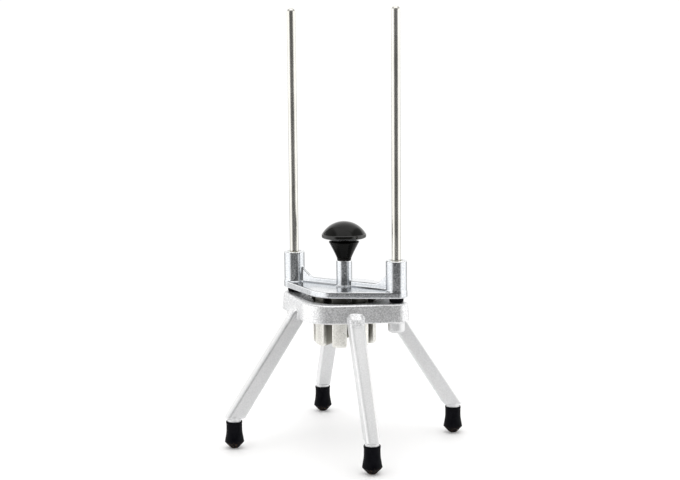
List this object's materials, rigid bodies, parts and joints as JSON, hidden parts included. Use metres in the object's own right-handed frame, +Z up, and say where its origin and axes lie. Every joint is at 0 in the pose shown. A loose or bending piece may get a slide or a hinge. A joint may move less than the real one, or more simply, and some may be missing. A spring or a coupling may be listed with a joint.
{
  "type": "egg slicer",
  "caption": "Push-down egg slicer: a knobbed pusher head slides on two upright rods and drives wedge fingers between crossed blades in a cast base on splayed, rubber-footed legs.",
  "frame": {"origin": "on the table, under the centre of the blade ring", "axes": "+Z up along the guide rods, +X from the left rod to the right rod, +Y away from the front of the base"},
  "size_m": [0.183, 0.183, 0.44],
  "materials": {
    "cast_aluminium": "sand-cast, blasted satin",
    "head_aluminium": "cast, tumbled satin",
    "finger_aluminium": "cast, warm matt",
    "rod_steel": "ground and polished stainless",
    "blade_steel": "ground stainless",
    "screw_steel": "bright zinc plated",
    "ring_plastic": "moulded black",
    "knob_plastic": "moulded phenolic, glossy black",
    "bush_nylon": "turned natural nylon",
    "rubber": "moulded satin black"
  },
  "bodies": {
    "base": {"base_casting": "cast_aluminium", "blade_ring": "ring_plastic", "blade_1": "blade_steel", "blade_2": "blade_steel", "blade_3": "blade_steel", "blade_4": "blade_steel", "ring_screw_1": "screw_steel", "ring_screw_2": "screw_steel", "ring_screw_3": "screw_steel", "ring_screw_4": "screw_steel", "guide_rod_left": "rod_steel", "guide_rod_right": "rod_steel", "rod_washer_left": "screw_steel", "rod_washer_right": "screw_steel", "rod_screw_left": "screw_steel", "rod_screw_right": "screw_steel", "rod_bumper_left": "rubber", "rod_bumper_right": "rubber", "rubber_foot_1": "rubber", "rubber_foot_2": "rubber", "rubber_foot_3": "rubber", "rubber_foot_4": "rubber"},
    "pusher": {"pusher_head": "head_aluminium", "finger_block": "finger_aluminium", "finger_screw_1": "screw_steel", "finger_screw_2": "screw_steel", "finger_screw_3": "screw_steel", "finger_screw_4": "screw_steel", "lower_bush_left": "bush_nylon", "lower_bush_right": "bush_nylon", "upper_bush_left": "bush_nylon", "upper_bush_right": "bush_nylon", "knob": "knob_plastic", "knob_stud": "screw_steel"}
  },
  "joints": [
    {"name": "pusher_slide", "type": "slide", "parent": "base", "child": "pusher", "axis": [0, 0, 1], "range_m": [0, 0.24]}
  ]
}
